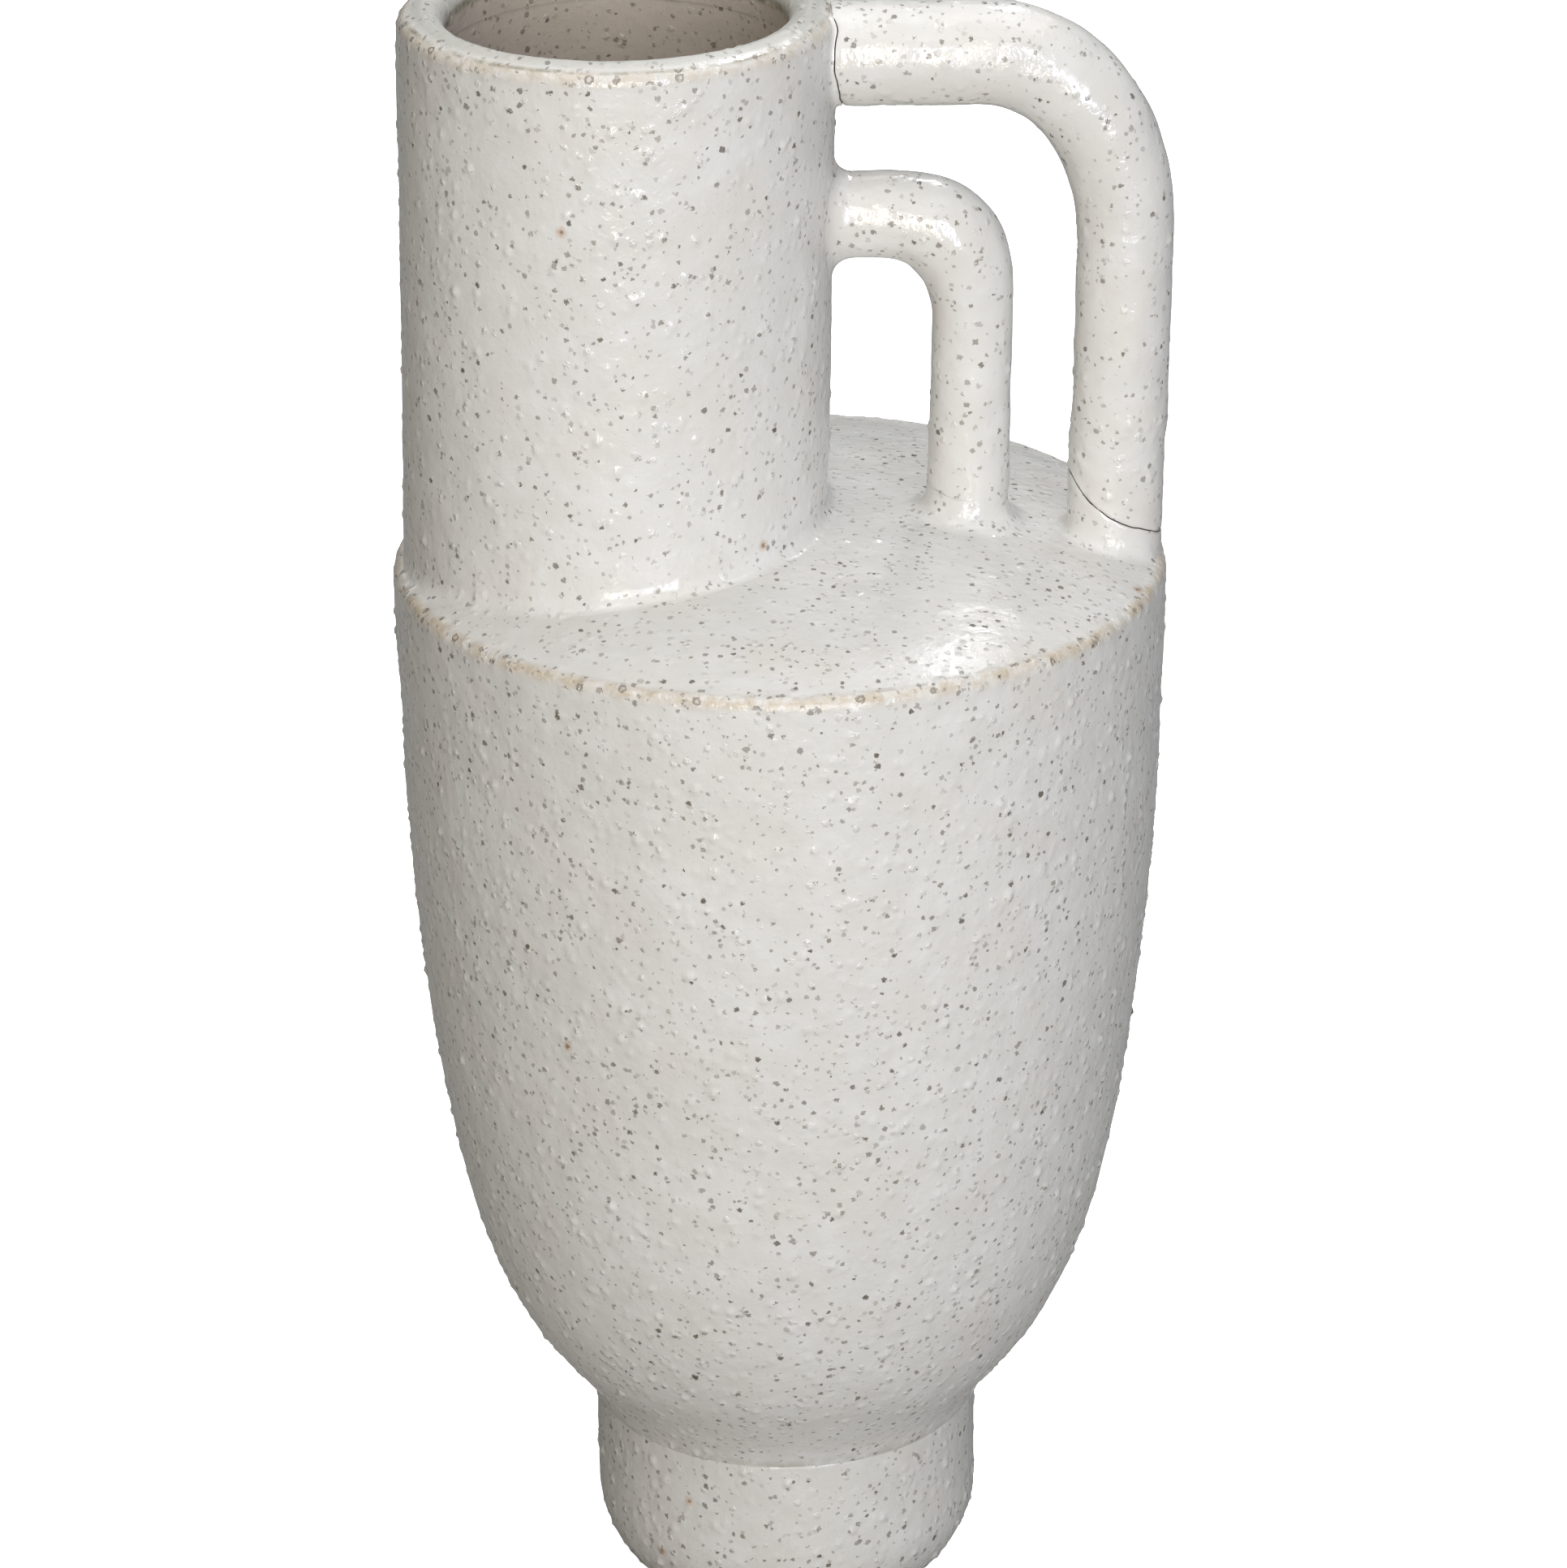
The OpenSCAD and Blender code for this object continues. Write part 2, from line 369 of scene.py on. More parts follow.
def painted(k, base, brk, thick_glaze_and_shade, inner):
    """Changes of tone that the mesh's painted attributes ask for."""
    # clay showing through where the glaze breaks over an edge
    patchy = k.ramp(k.fog(210, 3.0, 0.6), 0.33, 0.62)
    broken = k.times(brk, k.plus(k.times(patchy, 0.85), 0.15), True)
    base = k.mix(k.times(broken, 0.78), base, TAN)
    # glaze that stands thick and grey on the lip, and painted shade all round the foot's outer side
    base = k.mix(k.times(thick_glaze_and_shade, 0.75), base, THICK_GREY_AND_SHADE)
    # inside of the vessel, thinner and browner glaze together with painted shade, with a dark line where
    # it starts
    base = k.mix(k.times(inner, 0.92), base, THIN_BROWN_AND_SHADE)
    # dark glaze lines on the lip, and painted shade in the crease above the foot
    ragged = k.ramp(k.fog(330, 3.0, 0.65), 0.3, 0.6)
    return k.mix(k.times(k.attr("dark_line_and_crease_shade"), ragged, True), base, LINE_BROWN_AND_SHADE)


# iron specks: cells per metre, radius and soft edge in cells, share of empty cells, strength
SPECKS = (
    (430, 0.21, 0.05, 0.2, 0.7),
    (330, 0.195, 0.035, 0.3, 0.95),
    (210, 0.14, 0.022, 0.5, 1.0),
)


def iron_specks(k, at, inner, sparse):
    """Strength of the specks at a point. More cells hold one inside the vessel."""
    total = None
    chip = k.fog(2400, 1.0)
    for scale, size, soft, empty, strength in SPECKS:
        d, chance, growth, depth = k.cells(at, scale)
        grown = k.times(k.plus(k.times(growth, 0.7), 0.5), size)
        d = k.plus(d, k.times(k.minus(chip, 0.5), size))
        spot = k.ramp(d, k.minus(grown, soft), k.plus(grown, soft), 1.0, 0.0)
        spared = (1 - empty) * sparse
        few = k.minus(spared, k.times(inner, spared + 0.15))
        on = k.above(chance, k.plus(few, empty))
        force = k.times(k.plus(k.times(depth, 0.75), 0.25), strength)
        spot = k.times(k.times(spot, on), force)
        total = spot if total is None else k.math("MAXIMUM", total, spot)
    return total


def rust_blooms(k, at, base):
    """Few large rust blooms, each round an iron grain."""
    d, chance, _, _ = k.cells(at, 46)
    lone = k.above(chance, 0.55)
    bloom = k.times(k.ramp(d, 0.035, 0.085, 1.0, 0.0), lone)
    base = k.mix(k.times(bloom, 0.45), base, RUST)
    core = k.times(k.ramp(d, 0.02, 0.042, 1.0, 0.0), lone)
    return k.mix(k.times(core, 0.7), base, RUST_CORE)


def ringed_pits(k, at, brk, thick_glaze_and_shade):
    """Ringed pits along a breaking edge, more of them on the lip."""
    d, chance, _, _ = k.cells(at, 300)
    ring = k.minus(k.ramp(d, 0.26, 0.36, 1.0, 0.0), k.ramp(d, 0.12, 0.24, 0.8, 0.0))
    on = k.above(k.plus(chance, k.times(thick_glaze_and_shade, 0.25)), 0.58)
    return k.times(k.times(ring, on), k.ramp(brk, 0.2, 0.6))


def relief(k, at, grit, brk, pit, specks):
    """Fine height of the skin: orange peel, grit grains, pits, crust on worn edges, and specks."""
    d, chance, _, _ = k.cells(at, 260)
    grain = k.times(k.ramp(d, 0.0, 0.3, 1.0, 0.0), k.above(chance, 0.55))
    height = k.plus(k.times(k.fog(260, 3.0, 0.55), 0.4), k.times(k.fog(900), 0.12))
    height = k.plus(height, k.times(grain, 0.55 * grit))
    height = k.minus(height, pit)
    height = k.plus(height, k.times(k.fog(420, 3.0, 0.6), k.times(brk, 0.9)))
    return k.plus(height, k.times(specks, 0.3 * grit))


def glaze(name, grit, gloss, sparse=0.0):
    """Off-white speckled stoneware glaze.

    grit scales its bumps, gloss is its base roughness, and sparse is the share of specks left out.
    """
    k = Nodes(name)
    warp = k.noise(k.coord, 1500, 2.0).outputs["Color"]
    shift = k.put("ShaderNodeVectorMath", {0: warp, 1: (0.5, 0.5, 0.5)}, operation="SUBTRACT")
    shift = k.put("ShaderNodeVectorMath", {0: shift.outputs[0], "Scale": 0.0012}, operation="SCALE")
    warped = k.put("ShaderNodeVectorMath", {0: k.coord, 1: shift.outputs[0]}, operation="ADD")
    at = warped.outputs[0]
    brk, thick_glaze_and_shade, inner = k.attr("brk"), k.attr("thick_glaze_and_shade"), k.attr("inner")

    base = painted(k, cloudy(k), brk, thick_glaze_and_shade, inner)
    specks = iron_specks(k, at, inner, sparse)
    iron = k.mix(k.ramp(k.fog(420, 1.0), 0.35, 0.65), IRON_DARK, IRON_PALE)
    base = rust_blooms(k, at, k.mix(specks, base, iron))
    pit = ringed_pits(k, at, brk, thick_glaze_and_shade)
    base = k.mix(k.times(pit, 0.6), base, PIT_BROWN)
    k.feed(k.bsdf.inputs["Base Color"], base)

    rough = k.ramp(k.fog(60, 3.0, 0.6), 0.3, 0.7, gloss - 0.05, gloss + 0.08)
    rough = k.plus(rough, k.times(inner, 0.15))
    rough = k.plus(rough, k.times(thick_glaze_and_shade, 0.3))
    k.feed(k.bsdf.inputs["Roughness"], rough)
    k.bsdf.inputs["IOR"].default_value = 1.52

    height = relief(k, at, grit, brk, pit, specks)
    bump = k.put("ShaderNodeBump", {"Strength": 0.65, "Distance": 0.0009, "Height": height})
    k.feed(k.bsdf.inputs["Normal"], bump.outputs[0])
    return k.m


def clay(name, dark, light):
    """Bare fired clay, sandy and matt."""
    k = Nodes(name)
    sand = k.fog(500, 4.0, 0.65)
    base = k.mix(k.ramp(sand, 0.3, 0.7), rgb(*dark), rgb(*light))
    shade = k.ramp(k.fog(40, 3.0), 0.35, 0.75, 0.0, 0.4)
    base = k.mix(shade, base, rgb(*(c * 0.7 for c in dark)))
    d, chance, _, _ = k.cells(k.coord, 420)
    grog = k.times(k.ramp(d, 0.12, 0.24, 1.0, 0.0), k.above(chance, 0.6))
    base = k.mix(k.times(grog, 0.6), base, GROG_PALE)
    k.feed(k.bsdf.inputs["Base Color"], base)
    k.feed(k.bsdf.inputs["Roughness"], k.ramp(sand, 0.2, 0.8, 0.72, 0.92))
    height = k.plus(sand, k.times(grog, 0.6))
    bump = k.put("ShaderNodeBump", {"Strength": 0.6, "Distance": 0.0004, "Height": height})
    k.feed(k.bsdf.inputs["Normal"], bump.outputs[0])
    return k.m


coarse_glaze = glaze("glaze_coarse", 1.0, 0.18)
neck_glaze = glaze("glaze_neck", 1.0, 0.14, 0.1)
smooth_glaze = glaze("glaze_smooth", 0.8, 0.12, 0.0)
bare = clay("bare_clay", (0.30, 0.235, 0.175), (0.47, 0.39, 0.31))
crack = clay("crack_clay", (0.055, 0.04, 0.03), (0.12, 0.09, 0.065))


def paints(P, **given):
    """One layer of values for each attribute that the glaze reads, zero where none is given."""
    layers = {key: np.zeros(P.shape[:2]) for key in ("brk", "inner", "dark_line_and_crease_shade", "thick_glaze_and_shade")}
    layers.update(given)
    return layers


def place(o, nodes):
    """Puts a piece on the one body and hides the CAD nodes it stands for."""
    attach(o, "root")
    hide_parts(*nodes)


# ---------------------------------------------------------------- base shapes, before displacement
NU = 760  # points round the body
STEP = 0.8  # distance between rows
SLIM = 0.4  # how much the foot stays inside the body's lower end
EDGE_ROUND = 3.4  # radius of the shoulder's edge


def cubic(a, b, c, d, n=400):
    """Points of a cubic curve from a to d with handles b and c."""
    t = np.linspace(0, 1, n)[:, None]
    return (1 - t) ** 3 * a + 3 * t * (1 - t) ** 2 * b + 3 * t * t * (1 - t) * c + t**3 * d


def hollow(z, middle, spread, depth):
    """A slight waist in the wall round the height called middle."""
    return depth * np.exp(-(((z - middle) / spread) ** 2))


# the body's wall leaves the foot at this slope and comes upright to the shoulder
WALL_SLOPE = math.radians(69)
LOW_HANDLE, HIGH_HANDLE = 24.5, 194.0
wall_a = np.array([FOOT_R, FOOT_H])
wall_b = wall_a + LOW_HANDLE * np.array([math.cos(WALL_SLOPE), math.sin(WALL_SLOPE)])
wall_d = np.array([BODY_R, WALL_TOP])
wall_c = wall_d - np.array([0, HIGH_HANDLE])
wall_curve = cubic(wall_a, wall_b, wall_c, wall_d)
wall_z = wall_curve[:, 1]
wall_curve[:, 0] -= hollow(wall_z, 160, 52, 0.9) + hollow(wall_z, 236, 15, 0.4)

# foot: loop of its section, outer side first
foot_rx, foot_rz = 19.5, 24.0
foot_side = arc(FOOT_R - SLIM - foot_rx, foot_rz, foot_rx, 270, 360, 30, foot_rz)
foot_top = arc(FOOT_R - SLIM - 0.5, FOOT_H - 0.5, 0.5, 0, 80, 6)
foot_out = spaced(np.vstack([foot_side, foot_top]), STEP)
foot_hollow = arc(30, 18.5, 9, 0, -90, 8)
floor_hole = [[FLOOR_R + 0.15, 9.5], [FLOOR_R + 0.15, 0]]
foot_in = spaced(np.vstack([[[FOOT_R - WALL, FOOT_H]], foot_hollow, floor_hole]), 4.0)
foot_P = revolve(np.vstack([foot_out, foot_in]), 480)

# body: outer skin, then the hidden contact faces and the inner wall
body_out = spaced(wall_curve, STEP)
tangent = np.gradient(wall_curve, axis=0)
tangent /= np.linalg.norm(tangent, axis=1, keepdims=True)
inner_curve = wall_curve + WALL * np.column_stack([-tangent[:, 1], tangent[:, 0]])
inner_curve = inner_curve[inner_curve[:, 1] > FOOT_H + 5]
inner_foot = [[FOOT_R - WALL, FOOT_H + 4], [FOOT_R - WALL, FOOT_H]]
body_in = spaced(np.vstack([[[BODY_R - WALL, WALL_TOP]], inner_curve[::-1][1:], inner_foot]), 3.2)
body_P = revolve(np.vstack([body_out, body_in]), NU)

# shoulder disc: side and rounded edge are rings about the body axis, the top runs in to the eccentric bore
EDGE_MID_Z = EDGE_Z + 0.55 - EDGE_ROUND
edge_arc = arc(BODY_R - EDGE_ROUND, EDGE_MID_Z, EDGE_ROUND, 0, 76, 14)
side = spaced(np.vstack([[[BODY_R, WALL_TOP]], edge_arc]), 0.6)
ring_r = side[-1, 0]
th = np.linspace(0, 2 * math.pi, NU, endpoint=False)
rows_top = 112
outer_ring = np.stack([ring_r * np.cos(th), ring_r * np.sin(th)], -1)
bore_ring = np.stack([NECK_X + BORE_R * np.cos(th), BORE_R * np.sin(th)], -1)
t = np.linspace(0, 1, rows_top)[1:, None, None]
top_xy = outer_ring[None] * (1 - t) + bore_ring[None] * t
lift = side[-1, 1] - float(dome(ring_r, 0.0))
top_r = np.hypot(top_xy[..., 0], top_xy[..., 1])
top_z = dome(top_xy[..., 0], top_xy[..., 1]) + lift * smooth(76, ring_r, top_r)
top_P = np.concatenate([top_xy, top_z[..., None]], -1)
under_t = np.linspace(1, 0, 16)[:, None, None]
rim_in = np.stack([(BODY_R - WALL) * np.cos(th), (BODY_R - WALL) * np.sin(th)], -1)
under_xy = rim_in[None] * (1 - under_t) + bore_ring[None] * under_t
under_z = dome(under_xy[..., 0], under_xy[..., 1], DISC_T)
under_P = np.concatenate([under_xy, under_z[..., None]], -1)
seat_P = np.concatenate([rim_in, np.full((NU, 1), WALL_TOP)], -1)[None]
side_P = revolve(side, NU)
side_P[..., 2] += back_rise(side_P[..., 1]) * smooth(WALL_TOP, EDGE_Z - 1, side_P[..., 2])
disc_P = np.concatenate([side_P, top_P, under_P, seat_P])
n_side = len(side)

# neck: outer skin from the shoulder up, inner wall back down
neck_nu = 520
nth = np.linspace(0, 2 * math.pi, neck_nu, endpoint=False)


def neck_rows(radius, zs_from, z_to, step):
    """Rings of the neck from the shoulder, whose heights are given, up to a level ring."""
    x, y = NECK_X + radius * np.cos(nth), radius * np.sin(nth)
    n = int(round((z_to - zs_from.min()) / step))
    t = np.linspace(0, 1, n + 1)[:, None]
    z = zs_from[None] * (1 - t) + z_to * t
    return np.stack([np.broadcast_to(x, z.shape), np.broadcast_to(y, z.shape), z], -1)


def base_z(radius):
    """Height of the shoulder under the neck's wall."""
    return dome(NECK_X + radius * np.cos(nth), radius * np.sin(nth))


neck_out = neck_rows(NECK_R, base_z(NECK_R), LIP_Z, STEP)
neck_in = neck_rows(BORE_R, base_z(BORE_R), LIP_Z, 2.4)[::-1]
neck_P = np.concatenate([neck_out, neck_in])

LIP_OUT, LIP_IN = 3.6, 4.6  # radii of the lip's outer and inner edges
LIP_OUT_Z = MOUTH_Z - 1.2 - LIP_OUT
lip_corners = np.vstack([
    [[NECK_R, LIP_Z]],
    arc(NECK_R - LIP_OUT, LIP_OUT_Z, LIP_OUT, 0, 66, 14),
    [[NECK_R - 5.0, MOUTH_Z - 0.25], [NECK_R - 6.2, MOUTH_Z]],
    arc(BORE_R + LIP_IN, MOUTH_Z - 0.3 - LIP_IN, LIP_IN, 96, 180, 14),
    [[BORE_R, LIP_Z]],
])
lip_section = spaced(lip_corners, 0.55)
lip_P = revolve(lip_section, neck_nu, NECK_X)


# rods: a level run, a full and slightly swollen bend, and an upright leg
def path_rod(x0, run_z, leg_x, bend_x, bend_z, square, z_end, leg_shift, radii, step):
    """Rows of x, z and radius along the rod. square is the power of the bend's superellipse."""
    a = np.linspace(0, math.pi / 2, 50)
    turn = np.column_stack([
        leg_x - bend_x + bend_x * np.sin(a) ** (2 / square),
        run_z - bend_z + bend_z * np.cos(a) ** (2 / square),
        radii[0] + (radii[2] - radii[0]) * a / a[-1],
    ])
    mid = (radii[0] + radii[2]) / 2
    turn[:, 2] += (radii[1] - mid) * np.sin(2 * a) ** 1.5
    run = [[x0, run_z, radii[0]]]
    leg = [[leg_x + leg_shift, z_end, radii[2]]]
    return spaced(np.vstack([run, turn, leg]), step)


def rod_grid(path, nu):
    """Rings of nu points round a path of x, z and radius in the plane y = 0."""
    line = path[:, :2]
    for _ in range(4):
        line[1:-1] = (line[:-2] + 2 * line[1:-1] + line[2:]) / 4
    tan = np.gradient(line, axis=0)
    tan /= np.linalg.norm(tan, axis=1, keepdims=True)
    out = np.column_stack([-tan[:, 1], tan[:, 0]])
    a = np.linspace(0, 2 * math.pi, nu, endpoint=False)
    c, s = np.cos(a), np.sin(a)
    radius = path[:, 2:3]
    x = path[:, 0:1] + radius * c * out[:, 0:1]
    z = path[:, 1:2] + radius * c * out[:, 1:2]
    y = np.broadcast_to(radius * s, x.shape)
    return np.stack([x, y, z], -1)


SEAM_Z = 285.0  # height of the leg's firing crack
SEAM_SLANT = math.tan(math.radians(34))
GAP = 0.24  # width of the firing cracks


def seam_height(x, y):
    """Height of the firing crack across the outer leg."""
    p = np.stack([x, y, np.full_like(x, SEAM_Z)], -1)
    bend = 2.2 * smooth(-3, -11, y) * smooth(OUT_LEG + 9, OUT_LEG - 2, x)
    ragged = 0.9 * noise(p, 6.0, 21) + 0.35 * noise(p, 2.2, 22)
    return SEAM_Z - 1.2 - (x - OUT_LEG) * SEAM_SLANT - bend + ragged


def neck_seam(y, z):
    """How far from the neck wall the crack beside the outer handle runs."""
    p = np.stack([np.full_like(y, 15.0), y, z], -1)
    ragged = 0.5 * noise(p, 6.0, 23) + 0.3 * noise(p, 2.4, 24)
    return 0.9 + 1.2 * smooth(OUT_RUN + 4, OUT_RUN - 6, z) + ragged


# the fuller bends and slightly splayed legs of the real rods; radii at the run, the bend and the leg
ROD_STEP = 0.85
OUT_Z = OUT_RUN + 1.1
out_radii = (OUT_ROD + 0.85, OUT_ROD + 0.9, OUT_ROD - 0.15)
in_radii = (IN_ROD + 0.5, IN_ROD + 1.7, IN_ROD)
out_path = path_rod(
    NECK_X + NECK_R, OUT_Z, OUT_LEG + 1.0,
    bend_x=35.6, bend_z=46.6, square=2.3,
    z_end=270.0, leg_shift=-1.6, radii=out_radii, step=ROD_STEP,
)
out_P = rod_grid(out_path, 96)
in_path = path_rod(
    NECK_X + NECK_R, IN_RUN - 0.5, IN_LEG + 0.3,
    bend_x=22.8, bend_z=24.5, square=2.65,
    z_end=276.0, leg_shift=-0.9, radii=in_radii, step=ROD_STEP,
)
in_P = rod_grid(in_path, 84)


# ---------------------------------------------------------------- surfaces that the joints are fitted to
def lean(z):
    """How far the neck stands to the +X side of its nominal axis."""
    return -1.0 + 2.5 * np.clip((z - 272) / (MOUTH_Z - 272), 0, 1)


def skin_swell(x, y, z):
    """Swell of the skin without its grit."""
    return swell(np.stack([x, y, z], -1), 0.0)


def shoulder_z(x, y):
    """Height of the uneven shoulder over a point, its rounded edge included."""
    r = np.hypot(x, y)
    flat = dome(x, y) + lift * smooth(76, ring_r, r)
    edge = np.sqrt(np.maximum(EDGE_ROUND**2 - np.maximum(r - BODY_R + EDGE_ROUND, 0) ** 2, 0.02))
    z = np.where(r > ring_r, EDGE_MID_Z + edge + back_rise(y), flat)
    return z + skin_swell(x, y, z)


def neck_radius(z):
    """Outer radius of the neck and lip at a height."""
    up = np.clip(z - LIP_OUT_Z, 0, LIP_OUT - 0.1)
    return NECK_R - LIP_OUT + np.sqrt(LIP_OUT**2 - up**2)


def neck_face(y, z):
    """X of the uneven neck wall on its +X side."""
    r = neck_radius(z)
    x = NECK_X + np.sqrt(np.maximum(r * r - y * y, 0))
    return x + skin_swell(x, y, z) + lean(z)


# ---------------------------------------------------------------- giving the base shapes their uneven skin
def outward(P, row):
    """Unit normals that point away from the middle of the given row."""
    n = grid_normals(P)
    row = min(row, len(P) - 1)
    return n if ((P[row] - P[row].mean(0)) * n[row]).sum() > 0 else -n


def rows_of(P, values):
    """One value per row, spread over the grid."""
    return np.repeat(np.asarray(values, float)[:, None], P.shape[1], 1)


def shown_normals(P, shown):
    """Normals in which the shown rows take no account of the hidden ones."""
    n = outward(P[:shown], shown // 2)
    return n if shown == len(P) else np.concatenate([n, outward(P, shown // 2)[shown:]])


def skin(P, shown, weight, coarse):
    """The base shape with the swells of hand made clay."""
    return P + shown_normals(P, shown) * (swell(P, coarse) * weight)[..., None]


def r_of(P):
    """Distance of the points from the body's axis."""
    return np.hypot(P[..., 0], P[..., 1])


n_foot, n_body, n_neck = len(foot_out), len(body_out), len(neck_out)

foot_w = rows_of(foot_P, [1.0] * n_foot + [0.0] * (len(foot_P) - n_foot))
foot_worn = 0.45 * smooth(7, 1, foot_P[..., 2]) * foot_w
# the foot's outer side is darkened all round with the thick-glaze grey as painted shade
foot_paint = dict(brk=foot_worn, thick_glaze_and_shade=0.22 * foot_w)
foot_S = skin(foot_P, n_foot, foot_w * smooth(0, 5, foot_P[..., 2]), 1.0)

body_w = rows_of(body_P, [1.0] * n_body + [0.12] * (len(body_P) - n_body))
# painted shade, darkening the body towards its crease with the foot
crease_shade = body_w * smooth(FOOT_H + 3.2, FOOT_H + 0.4, body_P[..., 2])
body_paint = dict(
    dark_line_and_crease_shade=0.3 * crease_shade,
    inner=1 - body_w,
)
body_S = skin(body_P, n_body, body_w, 1.0)
body_S[:n_body, :, 2] -= 0.35 * smooth(4, 0, np.arange(n_body))[:, None]

disc_w = rows_of(disc_P, [1.0] * (n_side + len(top_P)) + [0.1] * (len(under_P) + 1))
edge_gap = np.abs(r_of(disc_P) - (BODY_R - 1.2)) + np.abs(disc_P[..., 2] - (EDGE_Z - 0.6)) * 0.8
disc_paint = dict(brk=disc_w * smooth(3.4, 0.4, edge_gap), inner=np.where(disc_w < 0.5, 0.9, 0.0))
n_disc = n_side + len(top_P)
disc_coarse = 0.7 + 0.3 * smooth(EDGE_Z, EDGE_Z - 3, disc_P[..., 2])
disc_coarse = disc_coarse + 2.4 * smooth(5.0, 1.0, edge_gap)
disc_S = skin(disc_P, n_disc, disc_w, disc_coarse)

neck_w = rows_of(neck_P, [1.0] * n_neck + [0.6] * (len(neck_P) - n_neck))
neck_paint = dict(inner=rows_of(neck_P, [0.0] * n_neck + [1.0] * (len(neck_P) - n_neck)))
NECK_SINK = 2.5  # how far the neck's lower end goes into the shoulder
neck_P[0, :, 2] -= NECK_SINK
neck_P[-1, :, 2] -= NECK_SINK
neck_S = skin(neck_P, n_neck, neck_w, 0.75)

LIP_MID_R = 45
lip_r = np.hypot(lip_P[..., 0] - NECK_X, lip_P[..., 1])
outer_side = lip_r > LIP_MID_R
corner = np.hypot(lip_r - (NECK_R - 1.0), lip_P[..., 2] - (MOUTH_Z - 2.6))
lip_uneven = 1.1 * noise(lip_P * [1, 1, 0.0], 9.0, 31)
lip_up = lip_P[..., 2] - MOUTH_Z
inner_line = 0.8 * smooth(1.5, 0.3, np.abs(lip_up + 5.6 - lip_uneven)) * ~outer_side
worn_line = 0.75 * smooth(0.75, 0.2, np.abs(corner - 1.2)) * outer_side * (lip_up > -2.4)
lip_paint = dict(
    brk=0.65 * smooth(3.0, 0.4, corner) * outer_side,
    inner=smooth(lip_uneven - 5.2, lip_uneven - 6.6, lip_up) * ~outer_side,
    dark_line_and_crease_shade=inner_line + worn_line * smooth(-0.5, 0.2, lip_uneven),
    thick_glaze_and_shade=smooth(48.6, 45.6, lip_r),
)
lip_S = skin(lip_P, len(lip_P), np.ones(lip_P.shape[:2]), 0.75)

for S in (neck_S, lip_S):
    S[..., 0] += lean(S[..., 2])

# handles: ends follow the cracks or sink into the wall they grow from
ROD_SWELL, ROD_GRIT = 0.7, 0.12
out_S = skin(out_P, len(out_P), np.full(out_P.shape[:2], ROD_SWELL), ROD_GRIT)
in_S = skin(in_P, len(in_P), np.full(in_P.shape[:2], ROD_SWELL), ROD_GRIT)


def squeeze(S):
    """Adds the small flats that fingers leave on a rolled rod."""
    flats = 0.3 * noise(S, 8.0, 71) + 0.12 * noise(S, 4.4, 72) + 0.03 * noise(S, 2.0, 73)
    return S + outward(S, len(S) // 2) * flats[..., None]


out_S, in_S = squeeze(out_S), squeeze(in_S)


def stretch_start(S, start, x_to):
    """Moves the first rows of a level run so that its end lies at x = start."""
    x0 = S[0, 0, 0]
    move = S[..., 0] < x_to
    moved = start + (S[..., 0] - x0) * (x_to - start) / (x_to - x0)
    near = move & (np.arange(len(S))[:, None] < len(S) // 3)
    S[..., 0] = np.where(near, moved, S[..., 0])


def stretch_end(S, end, z_to):
    """Moves the last rows of an upright leg so that its end lies at z = end."""
    z0 = S[-1, 0, 2]
    low = (S[..., 2] < z_to) & (np.arange(len(S))[:, None] > len(S) // 2)
    moved = end + (S[..., 2] - z0) * (z_to - end) / (z_to - z0)
    S[..., 2] = np.where(low, moved, S[..., 2])


NIP = 0.975


def nip(S, row):
    """Draws one end ring in a little, so that the edge there is not sharp."""
    c = S[row].mean(0)
    S[row] = c + (S[row] - c) * NIP


run_x = NECK_X + NECK_R
y_run, z_run = out_S[2, :, 1], out_S[2, :, 2]
start = neck_face(y_run, np.minimum(z_run, MOUTH_Z - 1.6)) + neck_seam(y_run, z_run) + GAP / 2
stretch_start(out_S, start[None, :], run_x + 16)
x_leg, y_leg = out_S[-3, :, 0], out_S[-3, :, 1]
stretch_end(out_S, (seam_height(x_leg, y_leg) + GAP / 2)[None, :], 306.0)
nip(out_S, 0)
nip(out_S, -1)

y_in, z_in = in_S[2, :, 1], in_S[2, :, 2]
stretch_start(in_S, (neck_face(y_in, z_in) - 2.0)[None, :], run_x + 9)
x_low, y_low = in_S[-3, :, 0], in_S[-3, :, 1]
stretch_end(in_S, (shoulder_z(x_low, y_low) - 2.0)[None, :], 296.0)


# ---------------------------------------------------------------- coils and fillets
def flare(near, corner, far, steps=9):
    """Rows of a hollow curve from ring near round corner to ring far."""
    t = np.linspace(0, 1, steps + 1)[:, None, None]
    return (1 - t) ** 2 * near + 2 * t * (1 - t) * corner + t * t * far


def ring3(x, y, z):
    """One ring of points from its coordinates."""
    return np.stack(np.broadcast_arrays(x, y, z), -1).astype(float)


def wobble(n, cell, seed, amount):
    """One random offset for each of n points round a ring."""
    a = np.linspace(0, 2 * math.pi, n, endpoint=False)
    return amount * noise(np.stack([12 * np.cos(a), 12 * np.sin(a), 0 * a], -1), cell, seed)


def leg_foot(S, size, trim):
    """Rings of the clay drawn out round the base of a leg.

    They lie on the leg, at the corner, on the shoulder and below it.
    """
    x, y = S[-3, :, 0], S[-3, :, 1]
    cx, cy = x.mean(), y.mean()
    away = np.stack([x - cx, y - cy], -1)
    away /= np.linalg.norm(away, axis=1, keepdims=True)
    room = np.maximum(trim - np.hypot(x, y), 0.35)
    out = np.minimum(size, room * 1.4)
    fx, fy = x + away[:, 0] * out, y + away[:, 1] * out
    z_c, z_f = shoulder_z(x, y), shoulder_z(fx, fy)
    up = size * np.clip(out / size, 0.3, 1)
    bury = ring3(cx + (x - cx) * 0.8, cy + (y - cy) * 0.8, z_c - 2.5)
    near, corner = ring3(x, y, z_c + up), ring3(x, y, z_c - 0.1)
    return near, corner, ring3(fx, fy, z_f - 0.06), ring3(fx, fy, z_f - 1.3), bury


